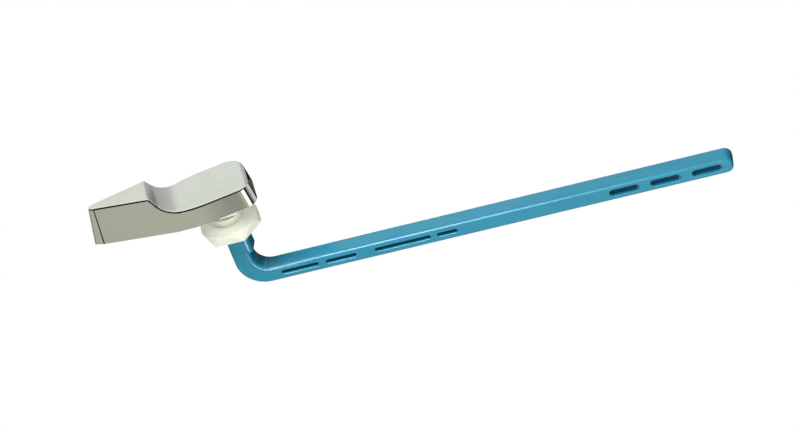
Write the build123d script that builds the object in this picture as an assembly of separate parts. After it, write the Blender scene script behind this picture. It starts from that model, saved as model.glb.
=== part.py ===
from build123d import *
import os
from math import atan, cos, degrees, radians, sin, tan

# Cistern trip lever for a front wall, at rest: the arm is level and the grip hangs a little.
# Millimetres. X runs along the arm, +Y points into the cistern and +Z is up. The origin lies on
# the turning axis, in the plane where the bush's flange seats on the outside of the wall.

# Turn of the lever
grip_droop = 14.5          # angle of the grip below the line of the arm, degrees
turn_range = 30.0          # how far the lever turns from rest to its upper stop, degrees

# Handle, seen from the front
handle_end = 15.2          # from the turning axis to the blunt end, at the back
handle_width = 26.4        # across the blunt end, at the back
corner_top = 8.5           # corner radii of the blunt end
corner_bottom = 5.2
taper_start = -9.7         # where the straight sides begin to draw in
taper_bend = 37.0          # radius of that bend
tip_reach = 55.6           # from the turning axis to the tip, at the back
tip_width = 4.5            # between the lines of the sides at the tip, at the back
nose_length = 4.25         # from the tip to where the nose starts, at the back
nose_rake = 6.5            # lean of the nose's side edges, degrees
nose_edge = 3.0            # radius of those edges
nose_taper = 0.4           # width of the very tip over the width where the nose starts
nose_round = 0.87          # share of the very tip that its rounding takes
side_draft = 4.9           # slope of the side walls, degrees
end_draft = 5.8            # slope of the blunt end, degrees
tip_rake = 13.0            # slope of the tip, degrees
tip_solid = 8.0            # length of solid metal at the tip

# Handle, seen from above
wall_gap = 1.5             # between the handle's back and the wall
pad_height = 9.0           # thickness over the turning axis
crest_reach = 25.9         # from the turning axis to the crest
crest_height = 18.2        # thickness at the crest
rise_angle = 62.0          # slope from the pad up to the crest, degrees
rise_blend = 10.6          # radius where the pad sweeps up into that slope
tip_slope = 5.7            # rise of the finger face from the crest to the tip, degrees
end_round = 2.0            # radius from the pad down to the blunt end
crest_round = 1.2          # radius along the crest
rim_round = 0.9            # radius along the front edges
relief_start = 20.4        # where the back begins to lift away from the wall
relief_slope = 5.9         # that lift, degrees
handle_wall = 2.0          # thickness of the hollow casting
end_lap = 0.05             # how far this section is drawn past the blunt end
cut_margin = 1.0           # how far a cut runs out past the metal

# Shank cast on the handle
boss_d = 13.0
shank_d = 7.0
tang_width = 4.8           # square end that carries the arm

# Bush in the wall
running_clearance = 0.06   # shank in the bush
end_play = 0.15            # along the shank, at each end of the bush
flange_gap = 0.7           # from the flange to the inside of the handle, and from the lugs to the boss
flange_t = 2.0
key_width = 13.4           # square that keeps the bush from turning in the wall
key_t = 3.0
thread_d = 12.5
bush_length = 15.4         # from the wall seat to the threaded end
key_round = 1.2
stop_width = 2.4           # thickness of the stop rib inside the handle
lug_width = 2.6            # thickness of the two stop lugs on the flange
lug_height = 2.4
stop_clearance = 1.0       # left at each stop, degrees

# Nut
nut_front = 7.6            # from the wall seat to the nut's face, as assembled
nut_flats = 22.0           # across the flats at the back
flats_t = 4.1               # length of the flats along the axis
nut_flange_d = 25.3
nut_flange_t = 2.1
nut_flange_round = 1.7
pilot_d = 14.8             # collar that centres the nut in the hole of the wall
pilot_t = 2.9
thread_clearance = 0.08
hex_round = 0.5

# Arm
bar_offset = 23.55         # from the collar's face to the middle of the bar
arm_reach = 207.9          # from the turning axis to the free end
bar_depth = 7.4            # section along Y
bar_height = 8.7           # section along Z
bar_round = 1.3
neck_left = 4.2            # neck from the turning axis towards the grip, at the collar
neck_foot = 5.2            # the same at the back of the bar
neck_right = 3.4           # neck from the turning axis towards the bar
elbow_outer = 12.2
elbow_inner = 6.8
arm_end_round = 3.2        # corners of the free end, seen from above
collar_length = 9.85
collar_left = 4.3          # collar from the turning axis towards the grip
collar_right = 5.3         # collar from the turning axis towards the bar
collar_height = 9.1
collar_round = 1.7
collar_edge = 0.6
socket_clearance = 0.05
socket_floor = 0.4         # from the end of the socket to the end of the collar
core_slots = [(12.9, 29.5), (32.7, 46.3), (54.5, 79.1), (81.9, 90.7)]  # start and end of each slot
core_width = 1.7
slot_round = 0.45          # edges of all the slots
chain_slots = 3
chain_pitch = 17.4
chain_length = 12.6
chain_width = 3.0
chain_margin = 4.5         # from the last chain slot to the free end

# Set screw that locks the arm on the tang
screw_d = 3.0
screw_length = 3.2
screw_sink = 0.2           # how deep its end lies in the collar
screw_clearance = 0.05
hex_key = 1.5
hex_key_depth = 1.6
screw_point = 0.5          # bevel at its tip

back_y = -wall_gap
roof_y = back_y - pad_height + handle_wall / 2
boss_y = -flange_t - end_play
arm_y = bush_length + end_play
bar_y = arm_y + bar_offset
screw_y = arm_y + collar_length / 2
screw_tip = collar_height / 2 - screw_sink - screw_length
socket_end = arm_y + collar_length - socket_floor
flange_d = handle_width - 2 * (handle_wall + flange_gap)


def facing_front(y):
    """Plane across the turning axis: X to the right, Z up, seen from the user's side."""
    return Plane((0, y, 0), x_dir=(1, 0, 0), z_dir=(0, -1, 0))


def along_axis(sketch, start, end):
    """Push a sketch of the front view along the turning axis, from start to end."""
    return extrude(facing_front(end) * sketch, amount=end - start)


def handle_outline(rise, inset, tip_inset):
    """Front view of the handle at a height above its back, drawn in all round and at the tip."""
    half_back = handle_width / 2
    slope = (half_back - tip_width / 2) / (tip_reach + taper_start)
    side_in = rise * tan(radians(side_draft)) + inset
    lean = side_in / cos(atan(slope))
    end = handle_end - rise * tan(radians(end_draft)) - inset
    tip = -tip_reach + rise * tan(radians(tip_rake)) + tip_inset
    half = half_back - side_in
    bend = taper_start + (lean - side_in) / slope
    nose = nose_length - tip_reach + rise * tan(radians(nose_rake)) + tip_inset
    nose_half = half_back + slope * (nose - taper_start) - lean
    tip_half = nose_taper * nose_half
    nose_turn = atan((nose - tip) / (nose_half - tip_half))
    tip_radius = nose_round * tip_half / tan(nose_turn / 2)
    far_side = [(end, half), (bend, half), (nose, nose_half), (tip, tip_half)]
    near_side = [(x, -y) for x, y in reversed(far_side)]
    face = Polygon(*far_side, *near_side, align=None)
    for x, low, high in (
        (end, corner_bottom - inset, corner_top - inset),
        (bend, taper_bend, taper_bend),
        (nose, nose_edge, nose_edge),
        (tip, tip_radius, tip_radius),
    ):
        for side, radius in ((-1, low), (1, high)):
            here = [v for v in face.vertices() if abs(v.X - x) < 0.01 and v.Y * side > 0]
            face = fillet(here, radius)
    return facing_front(back_y - rise) * face


def mitre(point, first, second, inset):
    """Corner between two edges after both move in along their normals."""
    reach = inset / (1 + first.dot(second))
    return point + (first + second) * reach


def handle_profile(inset, back_room):
    """Section of the handle seen from above, with its front drawn in and its back let out."""
    pad_y = back_y - pad_height
    rise = radians(rise_angle)
    lift = radians(tip_slope)
    crest = Vector(-crest_reach, back_y - crest_height)
    dip = Vector(-crest_reach + (crest_height - pad_height) / tan(rise), pad_y)
    pad_in = Vector(0, 1)
    rise_in = Vector(-sin(rise), cos(rise))
    tip_in = Vector(-sin(lift), cos(lift))
    crest = mitre(crest, rise_in, tip_in, inset)
    dip = mitre(dip, pad_in, rise_in, inset)
    pad_end = (handle_end - inset - pad_height * tan(radians(end_draft)) + end_lap, pad_y + inset)
    tip_x = -tip_reach - cut_margin
    tip_front = (tip_x, crest.Y + (tip_x - crest.X) * tan(lift))
    tip_back = (tip_x, back_y + back_room - (-tip_x - relief_start) * tan(radians(relief_slope)))
    corners = [
        (handle_end - inset + back_room * tan(radians(end_draft)) + end_lap, back_y + back_room),
        pad_end,
        (dip.X, dip.Y),
        (crest.X, crest.Y),
        tip_front,
        tip_back,
        (-relief_start, back_y + back_room),
    ]
    face = Polygon(*corners, align=None)
    for corner, radius in (
        (pad_end, max(end_round - inset, rim_round)),
        ((dip.X, dip.Y), rise_blend + inset),
        ((crest.X, crest.Y), crest_round),
    ):
        here = [v for v in face.vertices() if abs(v.X - corner[0]) + abs(v.Y - corner[1]) < 0.01]
        face = fillet(here, radius)
    return extrude(face, amount=handle_width, both=True)


def handle_block(inset, tip_inset, back_room):
    """Drafted block of the front view, cut to the section seen from above."""
    top = crest_height + (tip_reach - crest_reach) * tan(radians(tip_slope))
    ends = [handle_outline(-back_room, inset, tip_inset), handle_outline(top, inset, tip_inset)]
    return loft(ends, ruled=True) & handle_profile(inset, back_room)


def stop_lug(angle, side):
    """Block on the bush's flange beside the stop rib, where the rib stands at an angle."""
    inner = boss_d / 2 + flange_gap
    outer = flange_d / 2
    shift = side * (stop_width + lug_width) / 2
    block = Pos((inner + outer) / 2, shift) * Rectangle(outer - inner, lug_width)
    block = Rot(0, 0, angle) * block & Circle(outer)
    return along_axis(block, -flange_t - lug_height, -flange_t)


def make_handle():
    """Hollow casting with a boss, a stop rib, a round shank and a square tang for the arm."""
    body = handle_block(0, 0, 0)
    front = [f for f in body.faces() if f.normal_at(f.center()).Y < -0.3]
    rim = ShapeList(e for f in front for e in f.edges()).filter_by(Axis.Z, reverse=True)
    body = fillet(rim, rim_round)
    body = body - handle_block(handle_wall, tip_solid, cut_margin)
    body = body + along_axis(Circle(boss_d / 2), roof_y, boss_y)
    rib_reach = flange_d / 2 - end_play
    rib = Pos(0, -rib_reach / 2) * Rectangle(stop_width, rib_reach)
    body = body + along_axis(rib, roof_y, boss_y)
    body = Rot(0, -grip_droop, 0) * body
    shank = along_axis(Circle(shank_d / 2), roof_y, arm_y)
    tang = along_axis(Rectangle(tang_width, tang_width), arm_y, socket_end - end_play)
    return body + shank + tang - screw_hole(screw_tip)


def make_bush():
    """Flanged bush: flange with two stop lugs, square key and threaded barrel."""
    bush = along_axis(Circle(flange_d / 2), -flange_t, 0)
    bush = bush + along_axis(RectangleRounded(key_width, key_width, key_round), 0, key_t)
    bush = bush + along_axis(Circle(thread_d / 2), 0, bush_length)
    bore = along_axis(Circle(shank_d / 2 + running_clearance), -flange_t, bush_length)
    rib_angle = grip_droop - 90
    rest_lug = stop_lug(rib_angle - stop_clearance, -1)
    raised_lug = stop_lug(rib_angle + turn_range + stop_clearance, 1)
    return bush + rest_lug + raised_lug - bore


def make_nut():
    """Round nut with six slanted flats that run out at its face, and a collar that enters the wall."""
    nut_back = nut_front + nut_flange_t + flats_t
    slant = degrees(atan((nut_flange_d - nut_flats) / 2 / flats_t))
    corner_d = nut_flats / cos(radians(30))
    hexagon = fillet(RegularPolygon(corner_d / 2, 6).vertices(), hex_round)
    flats = extrude(facing_front(nut_back) * hexagon, amount=nut_back - nut_front, taper=-slant)
    body = along_axis(Circle(nut_flange_d / 2), nut_front, nut_back)
    body = fillet(body.edges().sort_by(Axis.Y)[:1], nut_flange_round)
    nut = (body & flats) + along_axis(Circle(pilot_d / 2), nut_front - pilot_t, nut_front)
    bore = Circle(thread_d / 2 + thread_clearance)
    return nut - along_axis(bore, nut_front - pilot_t, nut_back)


def screw_hole(start):
    """Round hole for the set screw, from start up through the top of the collar."""
    hole = Plane((0, screw_y, start)) * Circle(screw_d / 2 + screw_clearance)
    return extrude(hole, amount=collar_height / 2 + cut_margin - start)


def slot(start, end, width):
    """Slot through the bar from top to bottom, with round ends."""
    middle = (start + end) / 2
    shape = Pos(middle, bar_y) * SlotOverall(end - start, width)
    return extrude(shape, amount=bar_height, both=True)


def make_arm():
    """Moulded arm: collar with a square socket, elbow and slotted bar."""
    front_y = bar_y - bar_depth / 2
    rear_y = bar_y + bar_depth / 2
    corners = [
        (-neck_left, arm_y, 0),
        (neck_right, arm_y, 0),
        (neck_right, front_y, elbow_inner),
        (arm_reach, front_y, arm_end_round),
        (arm_reach, rear_y, arm_end_round),
        (-neck_foot, rear_y, elbow_outer),
    ]
    plan = Polygon(*[(x, y) for x, y, radius in corners], align=None)
    for x, y, radius in corners[2:]:
        here = [v for v in plan.vertices() if abs(v.X - x) + abs(v.Y - y) < 0.01]
        plan = fillet(here, radius)
    arm = extrude(plan, amount=bar_height / 2, both=True)
    faces = arm.faces().sort_by(Axis.Z)
    arm = fillet(faces[0].edges() + faces[-1].edges(), bar_round)
    collar_width = collar_left + collar_right
    collar_shape = RectangleRounded(collar_width, collar_height, collar_round)
    collar_shape = Pos((collar_right - collar_left) / 2, 0) * collar_shape
    collar = along_axis(collar_shape, arm_y, arm_y + collar_length)
    collar = fillet(collar.faces().sort_by(Axis.Y)[-1].edges(), collar_edge)
    arm = arm + collar
    socket_width = tang_width + 2 * socket_clearance
    arm = arm - along_axis(Rectangle(socket_width, socket_width), arm_y, socket_end)
    arm = arm - screw_hole(0)
    for first, last in core_slots:
        arm = arm - slot(first, last, core_width)
    for i in range(chain_slots):
        last = arm_reach - chain_margin - i * chain_pitch
        arm = arm - slot(last - chain_length, last, chain_width)
    slotted = arm.faces().filter_by(Axis.Z).sort_by(SortBy.AREA)[-2:]
    rims = [wire.edges() for face in slotted for wire in face.inner_wires()]
    return fillet(sum(rims, ShapeList()), slot_round)


def make_set_screw():
    """Socket set screw in the top of the collar, its point in the tang's seat."""
    base = Plane((0, screw_y, screw_tip))
    screw = extrude(base * Circle(screw_d / 2), amount=screw_length)
    screw = chamfer(screw.edges().sort_by(Axis.Z)[:1], screw_point)
    key_base = base.offset(screw_length - hex_key_depth)
    corner_r = hex_key / 2 / cos(radians(30))
    return screw - extrude(key_base * RegularPolygon(corner_r, 6), amount=hex_key_depth)


os.makedirs("parts", exist_ok=True)
nodes = {
    "handle": make_handle(),
    "wall_bush": make_bush(),
    "wall_nut": make_nut(),
    "lift_arm": make_arm(),
    "set_screw": make_set_screw(),
}
for name, solid in nodes.items():
    export_step(solid, f"parts/{name}.step")
    print(name, round(solid.volume, 1), solid.is_valid)
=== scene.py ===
import math

import bmesh
import bpy
from mathutils import Matrix, Vector


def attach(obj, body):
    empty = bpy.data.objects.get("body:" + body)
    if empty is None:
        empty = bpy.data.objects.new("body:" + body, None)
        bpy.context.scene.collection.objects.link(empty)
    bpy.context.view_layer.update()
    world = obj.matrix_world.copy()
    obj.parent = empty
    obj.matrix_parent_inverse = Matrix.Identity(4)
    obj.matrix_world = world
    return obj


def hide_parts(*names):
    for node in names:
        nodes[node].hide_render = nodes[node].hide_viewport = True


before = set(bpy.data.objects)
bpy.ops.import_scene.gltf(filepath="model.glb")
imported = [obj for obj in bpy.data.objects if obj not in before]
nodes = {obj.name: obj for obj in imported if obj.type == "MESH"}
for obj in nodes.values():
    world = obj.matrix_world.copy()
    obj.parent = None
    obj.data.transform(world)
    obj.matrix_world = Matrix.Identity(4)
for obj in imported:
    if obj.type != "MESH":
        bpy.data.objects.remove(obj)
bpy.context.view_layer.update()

scene = bpy.context.scene
scene.view_settings.view_transform = "Standard"


# Helpers for node trees

noise_roughness = 0.55
noise_low = 0.3
noise_high = 0.7
noise_middle = 0.5


def cleared_tree(owner, output_kind):
    owner.use_nodes = True
    tree = owner.node_tree
    tree.nodes.clear()
    surface = tree.nodes.new(output_kind).inputs["Surface"]
    return tree, surface


def new_material(name):
    mat = bpy.data.materials.new(name)
    tree, surface = cleared_tree(mat, "ShaderNodeOutputMaterial")
    bsdf = tree.nodes.new("ShaderNodeBsdfPrincipled")
    tree.links.new(bsdf.outputs["BSDF"], surface)
    return mat, tree, bsdf


def add(tree, kind, **inputs):
    node = tree.nodes.new(kind)
    for key, value in inputs.items():
        node.inputs[key.replace("_", " ")].default_value = value
    return node


def math_node(tree, operation, *values):
    node = tree.nodes.new("ShaderNodeMath")
    node.operation = operation
    for socket, value in zip(node.inputs, values):
        if isinstance(value, (int, float)):
            socket.default_value = value
        else:
            tree.links.new(value, socket)
    return node.outputs[0]


def mix_shaders(tree, share, first, second, surface):
    mix = tree.nodes.new("ShaderNodeMixShader")
    for socket, value in zip(mix.inputs, (share, first.outputs[0], second.outputs[0])):
        tree.links.new(value, socket)
    tree.links.new(mix.outputs[0], surface)


def object_position(tree, scale=(1, 1, 1)):
    coords = tree.nodes.new("ShaderNodeTexCoord")
    mapping = add(tree, "ShaderNodeMapping", Scale=scale)
    tree.links.new(coords.outputs["Object"], mapping.inputs["Vector"])
    return mapping.outputs["Vector"]


def noise(tree, place, scale, detail):
    node = add(tree, "ShaderNodeTexNoise", Scale=scale, Detail=detail, Roughness=noise_roughness)
    tree.links.new(place, node.inputs["Vector"])
    return node.outputs["Fac"]


def about_zero(tree, value):
    return math_node(tree, "SUBTRACT", value, noise_middle)


def spread(tree, value, low, high, start=noise_low, end=noise_high):
    node = add(tree, "ShaderNodeMapRange", From_Min=start, From_Max=end, To_Min=low, To_Max=high)
    tree.links.new(value, node.inputs["Value"])
    return node.outputs["Result"]


def ramp(tree, value, stops):
    node = tree.nodes.new("ShaderNodeValToRGB")
    for element, (place, colour) in zip(node.color_ramp.elements, stops):
        element.position = place
        element.color = (*colour, 1)
    tree.links.new(value, node.inputs["Fac"])
    return node.outputs["Color"]


def bump(tree, value, depth, strength):
    node = add(tree, "ShaderNodeBump", Strength=strength, Distance=depth)
    tree.links.new(value, node.inputs["Height"])
    return node.outputs["Normal"]


# Nickel plate: satin with a fine grain on the front, polished round the sides
# A grain, cloud or flow is the scale and the detail of its noise, a bump its depth and strength

handle_droop = math.radians(14.5)
front_outward = (-0.25, -0.45)
front_off_side = (0.2, 0.4)
nickel_grain = (1500, 2.0)
nickel_cloud = (90, 3.0)
nickel_cloud_share = 0.3
nickel_tone_span = 0.32
nickel_colours = [(0.0, (0.585, 0.615, 0.55)), (1.0, (0.745, 0.78, 0.71))]
nickel_brushed = (0.18, 0.24)
nickel_polished = 0.08
nickel_bump = (0.00004, 0.3)


def front_share(tree):
    facing = tree.nodes.new("ShaderNodeTexCoord").outputs["Normal"]
    across = tree.nodes.new("ShaderNodeVectorMath")
    across.operation = "DOT_PRODUCT"
    across.inputs[1].default_value = (-math.sin(handle_droop), 0, math.cos(handle_droop))
    tree.links.new(facing, across.inputs[0])
    off_side = math_node(tree, "ABSOLUTE", across.outputs["Value"])
    parts = tree.nodes.new("ShaderNodeSeparateXYZ")
    tree.links.new(facing, parts.inputs[0])
    outward = spread(tree, parts.outputs["Y"], 0.0, 1.0, *front_outward)
    level = spread(tree, off_side, 1.0, 0.0, *front_off_side)
    return math_node(tree, "MULTIPLY", outward, level)


def satin_nickel():
    mat, tree, bsdf = new_material("satin_nickel")
    bsdf.inputs["Metallic"].default_value = 1.0
    place = object_position(tree)
    front = front_share(tree)
    grain = noise(tree, place, *nickel_grain)
    grit = math_node(tree, "MULTIPLY", front, about_zero(tree, grain))
    cloud = about_zero(tree, noise(tree, place, *nickel_cloud))
    mottle = math_node(tree, "ADD", grit, math_node(tree, "MULTIPLY", cloud, nickel_cloud_share))
    tone = spread(tree, mottle, 0, 1, -nickel_tone_span, nickel_tone_span)
    tree.links.new(ramp(tree, tone, nickel_colours), bsdf.inputs["Base Color"])
    brushed = math_node(tree, "MULTIPLY", front, spread(tree, grain, *nickel_brushed))
    tree.links.new(math_node(tree, "ADD", brushed, nickel_polished), bsdf.inputs["Roughness"])
    tree.links.new(bump(tree, grit, *nickel_bump), bsdf.inputs["Normal"])
    return mat


# Ivory plastic, translucent

ivory_cloud = (140, 3.0)
ivory_grain = (2200, 2.0)
ivory_colours = [(0.35, (0.88, 0.895, 0.765)), (0.65, (0.915, 0.93, 0.81))]
ivory_rough = (0.42, 0.52)
ivory_bump = (0.00003, 0.2)
ivory_depth_share = 0.3
ivory_depth_colour = (1.0, 0.9, 0.7)
ivory_depth = 0.002


def ivory_plastic():
    mat, tree, bsdf = new_material("ivory_plastic")
    place = object_position(tree)
    cloud = noise(tree, place, *ivory_cloud)
    grain = noise(tree, place, *ivory_grain)
    tree.links.new(ramp(tree, cloud, ivory_colours), bsdf.inputs["Base Color"])
    bsdf.inputs["Subsurface Weight"].default_value = ivory_depth_share
    bsdf.inputs["Subsurface Radius"].default_value = ivory_depth_colour
    bsdf.inputs["Subsurface Scale"].default_value = ivory_depth
    tree.links.new(spread(tree, grain, *ivory_rough), bsdf.inputs["Roughness"])
    tree.links.new(bump(tree, grain, *ivory_bump), bsdf.inputs["Normal"])
    return mat


# Glossy blue plastic, with the flow of the moulding drawn out along the arm

blue_flow = (120, 3.0)
blue_flow_scale = (0.25, 1, 1)
blue_grain = (1500, 2.0)
blue_colours = [(0.3, (0.024, 0.285, 0.43)), (0.7, (0.031, 0.31, 0.465))]
blue_rough = (0.16, 0.24)
blue_bump = (0.0003, 0.12)


def blue_plastic():
    mat, tree, bsdf = new_material("blue_plastic")
    flow = noise(tree, object_position(tree, blue_flow_scale), *blue_flow)
    grain = noise(tree, object_position(tree), *blue_grain)
    tree.links.new(ramp(tree, flow, blue_colours), bsdf.inputs["Base Color"])
    tree.links.new(spread(tree, grain, *blue_rough), bsdf.inputs["Roughness"])
    tree.links.new(bump(tree, flow, *blue_bump), bsdf.inputs["Normal"])
    return mat


# Plain steel of the screw

steel_grain = (3000, 2.0)
steel_colours = [(0.3, (0.40, 0.40, 0.41)), (0.7, (0.50, 0.50, 0.51))]
steel_rough = (0.28, 0.42)


def screw_steel():
    mat, tree, bsdf = new_material("screw_steel")
    bsdf.inputs["Metallic"].default_value = 1.0
    grain = noise(tree, object_position(tree), *steel_grain)
    tree.links.new(ramp(tree, grain, steel_colours), bsdf.inputs["Base Color"])
    tree.links.new(spread(tree, grain, *steel_rough), bsdf.inputs["Roughness"])
    return mat


def paint(obj, mat):
    obj.data.materials.clear()
    obj.data.materials.append(mat)


ivory = ivory_plastic()
paint(nodes["handle"], satin_nickel())
paint(nodes["wall_nut"], ivory)
paint(nodes["wall_bush"], ivory)
paint(nodes["lift_arm"], blue_plastic())
paint(nodes["set_screw"], screw_steel())


# Threaded bush: the CAD bush with a helical thread cut into its barrel

thread_r = 0.00625
thread_start = 0.003
thread_end = 0.0154
thread_pitch = 0.0016
thread_depth = 0.0006
thread_crest = 0.2
thread_flank = 0.55
thread_fade = 0.0005
thread_rows = 124
weld_gap = 1e-6
ring_gap = 1e-5
barrel_gap = 2e-5
side_slope = 0.5
sharp_angle = math.radians(38)


def thread_radius(y, angle):
    turn = (y / thread_pitch - angle / math.tau) % 1.0
    rise = abs(turn - 0.5) * 2
    groove = min(max((rise - thread_crest) / thread_flank, 0.0), 1.0)
    fade = min((y - thread_start) / thread_fade, (thread_end - y) / thread_fade, 1.0)
    return thread_r - thread_depth * groove * max(fade, 0.0)


def angle_of(vert):
    return math.atan2(vert.co.z, vert.co.x)


def on_barrel(vert):
    off_radius = abs(math.hypot(vert.co.x, vert.co.z) - thread_r)
    return off_radius < barrel_gap and vert.co.y > thread_start - ring_gap


def is_barrel(face):
    return all(on_barrel(v) for v in face.verts) and abs(face.normal.y) < side_slope


def open_ring(bm, y):
    ring = [v for v in bm.verts if on_barrel(v) and abs(v.co.y - y) < ring_gap and v.is_boundary]
    return sorted(ring, key=angle_of)


def threaded_bush(source):
    mesh = source.data.copy()
    mesh.name = "bush_threaded"
    bm = bmesh.new()
    bm.from_mesh(mesh)
    bmesh.ops.remove_doubles(bm, verts=bm.verts, dist=weld_gap)
    bmesh.ops.delete(bm, geom=[f for f in bm.faces if is_barrel(f)], context="FACES")
    first = open_ring(bm, thread_start)
    last = open_ring(bm, thread_end)
    angles = [angle_of(v) for v in first]
    rows = [first]
    for i in range(1, thread_rows):
        y = thread_start + (thread_end - thread_start) * i / thread_rows
        row = []
        for angle in angles:
            r = thread_radius(y, angle)
            row.append(bm.verts.new((r * math.cos(angle), y, r * math.sin(angle))))
        rows.append(row)
    rows.append(last)
    for low, high in zip(rows, rows[1:]):
        for k in range(len(low)):
            m = (k + 1) % len(low)
            bm.faces.new((low[k], low[m], high[m], high[k]))
    bmesh.ops.recalc_face_normals(bm, faces=bm.faces)
    bm.to_mesh(mesh)
    bm.free()
    for poly in mesh.polygons:
        poly.use_smooth = True
    mesh.set_sharp_from_angle(angle=sharp_angle)
    piece = bpy.data.objects.new("bush_threaded", mesh)
    scene.collection.objects.link(piece)
    piece.matrix_world = source.matrix_world.copy()
    return piece


bush = threaded_bush(nodes["wall_bush"])
paint(bush, ivory)
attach(bush, "bush")
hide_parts("wall_bush")


# Floor, far below the part, which hangs on a wall

floor_size = (60, 60)
floor_place = (0, 0, -1.3)
floor_colour = (0.8, 0.8, 0.79, 1)
floor_rough = 0.9
floor_glow = 0.5
white = (1, 1, 1)
up, down = (0, 0, 1), (0, 0, -1)
rightward, leftward, inward = (1, 0, 0), (-1, 0, 0), (0, 1, 0)


def flat_sheet(name, centre, size, facing):
    mesh = bpy.data.meshes.new(name)
    x, y = size[0] / 2, size[1] / 2
    mesh.from_pydata([(-x, -y, 0), (x, -y, 0), (x, y, 0), (-x, y, 0)], [], [(0, 1, 2, 3)])
    obj = bpy.data.objects.new(name, mesh)
    scene.collection.objects.link(obj)
    obj.location = centre
    obj.rotation_mode = "QUATERNION"
    obj.rotation_quaternion = Vector(facing).to_track_quat("Z", "Y")
    return obj


def seen_rays(tree):
    path = tree.nodes.new("ShaderNodeLightPath")
    direct = math_node(tree, "MAXIMUM", path.outputs["Is Camera Ray"], path.outputs["Is Glossy Ray"])
    return math_node(tree, "MAXIMUM", direct, path.outputs["Is Transmission Ray"])


def floor_paint():
    mat, tree, bsdf = new_material("floor")
    bsdf.inputs["Base Color"].default_value = floor_colour
    bsdf.inputs["Roughness"].default_value = floor_rough
    bsdf.inputs["Emission Color"].default_value = (*white, 1)
    glow = math_node(tree, "MULTIPLY", seen_rays(tree), floor_glow)
    tree.links.new(glow, bsdf.inputs["Emission Strength"])
    return mat


floor = flat_sheet("floor", floor_place, floor_size, up)
paint(floor, floor_paint())


# Studio cards, which show only in reflections
# A fade is a local axis, where the level ends along it, where the far level begins, and the far level

def card(name, centre, size, facing, level, fade=None, tint=white):
    mat = bpy.data.materials.new(name)
    tree, surface = cleared_tree(mat, "ShaderNodeOutputMaterial")
    clear = tree.nodes.new("ShaderNodeBsdfTransparent")
    glow = add(tree, "ShaderNodeEmission", Color=(*tint, 1), Strength=level)
    if fade:
        axis, start, end, far_level = fade
        coords = tree.nodes.new("ShaderNodeTexCoord")
        parts = tree.nodes.new("ShaderNodeSeparateXYZ")
        tree.links.new(coords.outputs["Object"], parts.inputs[0])
        change = spread(tree, parts.outputs[axis], level, far_level, start, end)
        tree.links.new(change, glow.inputs["Strength"])
    path = tree.nodes.new("ShaderNodeLightPath")
    mix_shaders(tree, path.outputs["Is Glossy Ray"], clear, glow, surface)
    sheet = flat_sheet(name, centre, size, facing)
    paint(sheet, mat)
    return sheet


def collection_of(name, *pieces):
    made = bpy.data.collections.new(name)
    for piece in pieces:
        made.objects.link(piece)
    return made


for_handle = collection_of("for_handle", nodes["handle"])
for_arm = collection_of("for_arm", nodes["lift_arm"])
for_ivory = collection_of("for_ivory", nodes["wall_nut"], bush)
for_others = collection_of("for_others", nodes["handle"], nodes["lift_arm"], nodes["set_screw"], floor)

warm = (1.05, 1.0, 0.9)
near_black = 0.005
black = 0.01

# Near the handle, these draw the dark line along its front edge
card("card_grip", (-0.062, -0.0291, -0.036), (0.076, 0.0318), up, near_black)
card("card_dip", (-0.018, -0.02225, -0.034), (0.012, 0.0315), up, near_black)
card("card_blunt", (0.02, -0.0174, -0.03), (0.064, 0.0272), up, near_black)

# Far from the part, these are the tones of the studio
card("card_low_back", (0, 1.8, -1.25), (7, 3.0), up, 0.565, None, warm)
card("card_low_left", (-0.765, 0.85, -1.24), (0.51, 1.5), up, black)
card("card_left", (-2.4, 0.6, -0.4), (3.0, 1.5), rightward, 0.15)
card("card_right", (1.3, 0.5, -0.465), (2.2, 0.57), leftward, black)
card("card_up", (0.1, -0.4, 1.6), (1.0, 2.2), down, 0.62, ("X", 0.0, 0.45, 1.0))
card("card_up_right", (1.5, -0.4, 1.6), (1.8, 2.2), down, 0.62, ("X", 0.9, 0.55, 0.2))

# Near the elbow, these darken its inner side
card("card_elbow", (0.005, 0.008, 0.05), (0.034, 0.028), down, black)
card("card_inner", (0.038, 0.0195, 0.0505), (0.036, 0.029), down, black)

# Only the handle shows these
for sheet in (
    card("card_white", (0.91, 0.455, -0.79), (0.6, 0.62), (-0.7, -0.35, 0.61), 1.6),
    card("card_right_up", (1.3, 0.5, 0.71), (2.2, 1.82), leftward, 0.2, ("Y", -0.91, -0.21, 0.78)),
    card("card_pad", (0.018, 0.04, -0.12), (0.03, 0.044), up, 0.535, ("X", 0.003, -0.01, 0.36), warm),
    card("card_rim", (-0.5, -2.0, 0.245), (2.2, 1.13), inward, 1.25),
    card("card_up_back", (1.025, 1.6, 1.6), (2.75, 1.8), down, 0.08, ("X", 1.075, 0.775, 0.52)),
):
    sheet.light_linking.receiver_collection = for_handle

# Only the arm shows these, as the bright lines along its edges
for sheet in (
    card("strip_bar", (-0.1, -0.56, -0.79), (0.34, 0.8), (0.1, 0.58, 0.79), 20.0, ("X", 0.1, -0.14, 1.2)),
    card("strip_neck", (0.0, 0.0495, -0.05), (0.016, 0.0125), up, 24.0),
):
    sheet.light_linking.receiver_collection = for_arm


# World: white where the camera and reflections see it, softer as light

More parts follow.
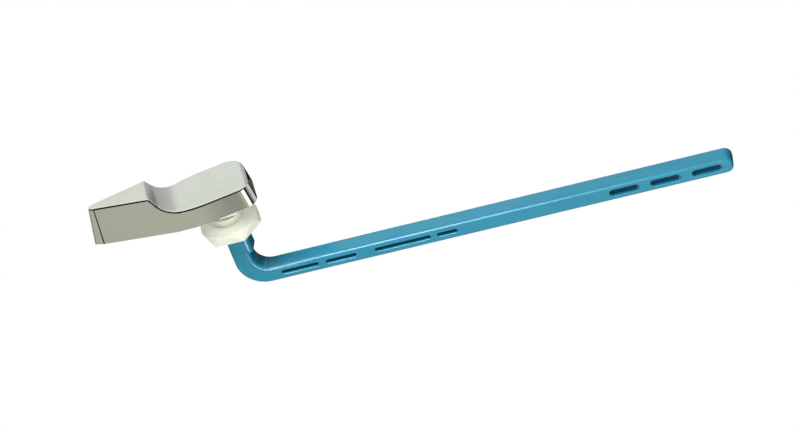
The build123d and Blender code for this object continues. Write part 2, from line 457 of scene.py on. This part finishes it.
world_light = 0.09
world_seen = 1.0
scene.world = bpy.data.worlds.new("studio")
world_tree, world_surface = cleared_tree(scene.world, "ShaderNodeOutputWorld")
soft_sky = add(world_tree, "ShaderNodeBackground", Color=(*white, 1), Strength=world_light)
seen_sky = add(world_tree, "ShaderNodeBackground", Color=(*white, 1), Strength=world_seen)
mix_shaders(world_tree, seen_rays(world_tree), soft_sky, seen_sky, world_surface)


# Lamps

def lamp(name, place, target, power, side):
    data = bpy.data.lights.new(name, "AREA")
    data.shape = "RECTANGLE"
    data.size = side
    data.size_y = side
    data.energy = power
    obj = bpy.data.objects.new(name, data)
    scene.collection.objects.link(obj)
    obj.location = place
    obj.rotation_mode = "QUATERNION"
    obj.rotation_quaternion = (Vector(target) - Vector(place)).to_track_quat("-Z", "Y")
    obj.visible_glossy = False
    obj.visible_camera = False
    return obj


arm_middle = (0.08, 0.02, 0)
arm_root = (0.05, 0.02, 0)
nut_middle = (0, 0.01, 0)

for light in (
    lamp("front", (-0.1, -1.0, -0.32), arm_middle, 11.9, 0.6),
    lamp("below", (0.3, 0.57, -0.92), arm_middle, 7.4, 0.8),
):
    light.light_linking.receiver_collection = for_others
lamp("back", (-0.7, 0.9, 1.1), arm_root, 16.0, 1.0)

# Soft light for the pale plastic, which the handle doesn't shade
for light in (
    lamp("nut_front", (-0.35, -0.89, -0.3), nut_middle, 4.4, 0.7),
    lamp("nut_side", (0.65, -0.74, -0.18), nut_middle, 4.8, 0.7),
    lamp("nut_below", (0.2, 0.5, -0.84), nut_middle, 8.0, 0.6),
):
    light.light_linking.receiver_collection = for_ivory
    light.light_linking.blocker_collection = for_ivory


# Camera at the photo's viewing angle

photo_width = 800
half_pixel = 0.5 / photo_width
camera_place = (0.2812, -0.5359, -0.7897)
camera_turn = Matrix(
    ((0.94957, 0.22993, 0.21320), (0.31192, -0.76226, -0.56716), (0.03211, 0.60506, -0.79553))
)
cam_data = bpy.data.cameras.new("camera")
cam = bpy.data.objects.new("camera", cam_data)
scene.collection.objects.link(cam)
cam_data.sensor_fit = "HORIZONTAL"
cam_data.sensor_width = 36
cam_data.lens = 107.32
cam_data.shift_x = -half_pixel
cam_data.shift_y = half_pixel
cam_data.clip_start = 0.01
cam_data.clip_end = 50
cam.rotation_mode = "QUATERNION"
cam.rotation_quaternion = camera_turn.to_quaternion()
cam.location = camera_place
scene.camera = cam
